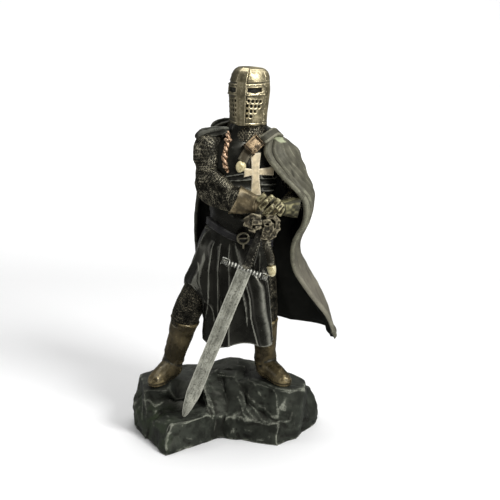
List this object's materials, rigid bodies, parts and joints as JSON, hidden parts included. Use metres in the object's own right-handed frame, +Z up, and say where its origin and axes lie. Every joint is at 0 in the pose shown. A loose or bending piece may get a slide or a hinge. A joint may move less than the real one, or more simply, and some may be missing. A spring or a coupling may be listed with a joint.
{
  "type": "knight statue",
  "caption": "Cast and painted statue of a cloaked knight in a great helm, both hands on an upright sword, standing with legs apart on a rock-shaped base",
  "frame": {"origin": "on the table, at the middle of the rock base's width and depth", "axes": "+Z is up; the knight's front faces -Y and the viewer of that side has +X on the right"},
  "size_m": [0.1593, 0.106, 0.2803],
  "materials": {
    "rock_paint": "cast resin painted dark green-grey, dry-brushed pale grey along its edges",
    "figure_paint": "cast resin painted black-green, olive, antique brass and dark bronze, worn bright on raised edges",
    "pewter_paint": "cast resin painted speckled pewter grey with a dark wash"
  },
  "bodies": {
    "root": {"rock_base": "rock_paint", "knight": "figure_paint", "sword": "pewter_paint"}
  },
  "joints": []
}
